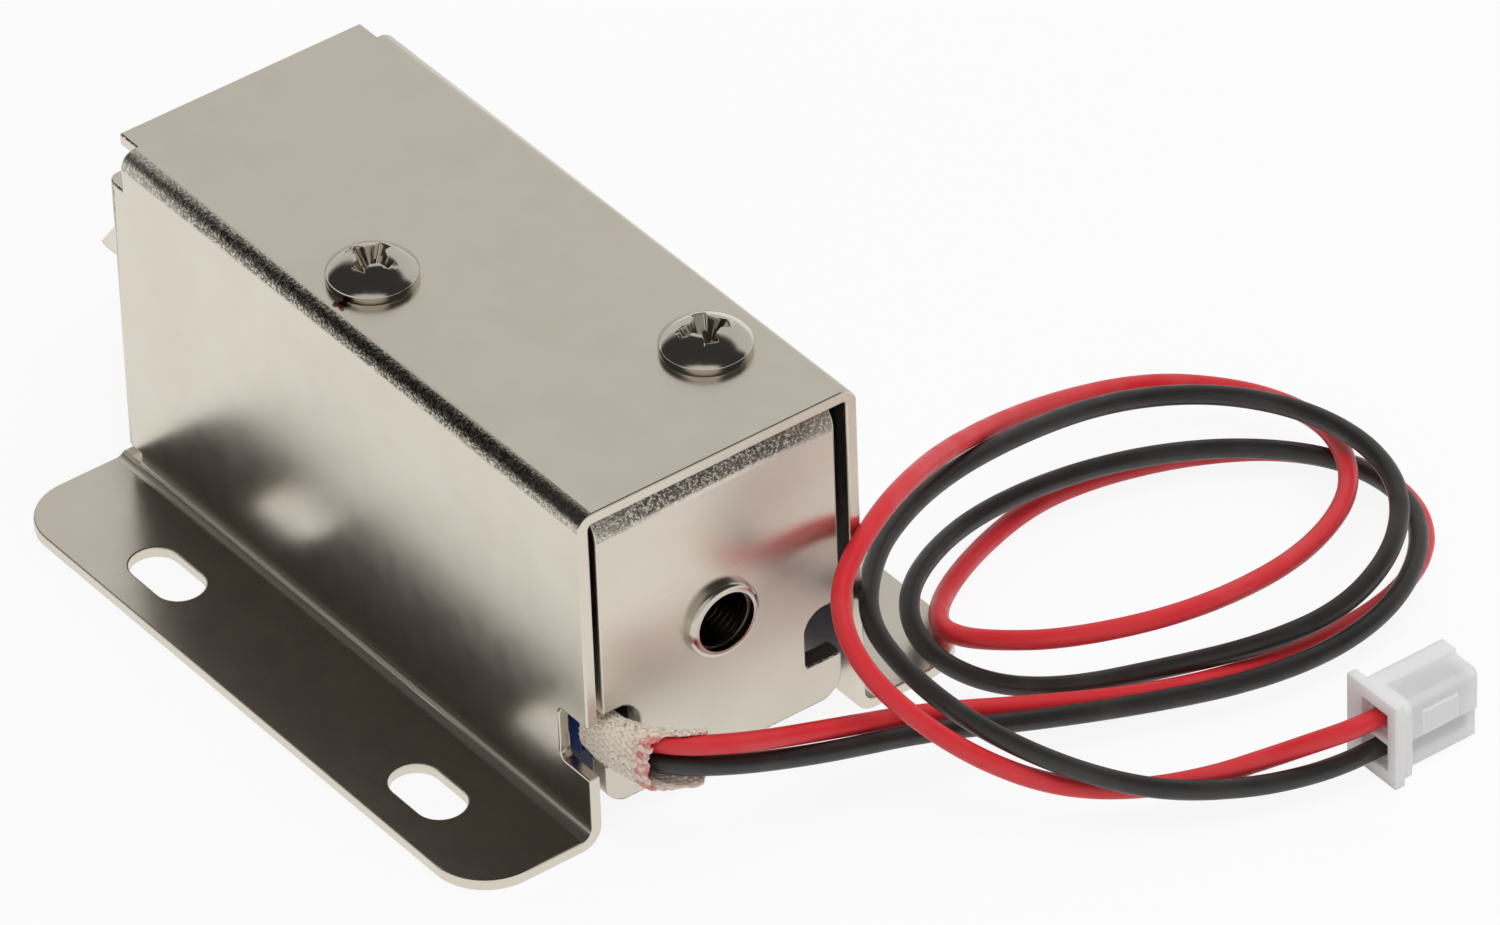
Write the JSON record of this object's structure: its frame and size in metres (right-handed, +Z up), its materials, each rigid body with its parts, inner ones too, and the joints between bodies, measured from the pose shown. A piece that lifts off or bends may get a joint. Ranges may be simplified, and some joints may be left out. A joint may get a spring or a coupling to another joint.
{
  "type": "solenoid lock",
  "caption": "Small folded steel solenoid lock with a slanted spring bolt, feet with mounting slots and two flying leads ending in a two way plug.",
  "frame": {"origin": "middle of the four mounting slots, on the underside of the feet", "axes": "+X the way the latch bolt comes out, +Z up from the mounting surface through the case, +Y across the case to the side where the leads come out"},
  "size_m": [0.0939, 0.0751, 0.0292],
  "materials": {
    "case_steel": "nickel plated, satin",
    "frame_steel": "nickel plated, satin",
    "screw_steel": "nickel plated, polished",
    "core_steel": "nickel plated, turned",
    "bolt_steel": "nickel plated, smooth",
    "spring_steel": "bright wire",
    "bobbin_nylon": "moulded nylon",
    "winding_wire": "enamelled copper wire",
    "tape_blue": "polyester film",
    "guide_brass": "drawn brass",
    "bumper_rubber": "moulded rubber",
    "sleeve_braid": "varnished glass braid",
    "lead_red": "smooth soft insulation",
    "lead_black": "smooth soft insulation",
    "splice_tin": "tinned",
    "plug_nylon": "moulded nylon, a little translucent",
    "contact_tin": "tinned"
  },
  "bodies": {
    "case": {"case_cover": "case_steel", "coil_frame": "frame_steel", "cover_screw_front": "screw_steel", "cover_screw_rear": "screw_steel", "bobbin": "bobbin_nylon", "coil_winding": "winding_wire", "coil_tape": "tape_blue", "guide_tube": "guide_brass", "fixed_core": "core_steel", "bumper_washer": "bumper_rubber", "return_spring": "spring_steel", "splice_red": "splice_tin", "splice_black": "splice_tin", "lead_red": "lead_red", "lead_black": "lead_black", "lead_sleeve": "sleeve_braid", "connector_housing": "plug_nylon", "contact_red": "contact_tin", "contact_black": "contact_tin"},
    "bolt": {"latch_bolt": "bolt_steel", "plunger": "core_steel", "bolt_pin": "bolt_steel"}
  },
  "joints": [
    {"name": "bolt_slide", "type": "slide", "parent": "case", "child": "bolt", "axis": [-1, 0, 0], "range_m": [0, 0.01], "stiffness_N_per_m": 300, "springref_m": -0.004, "deforming": ["return_spring"]}
  ]
}
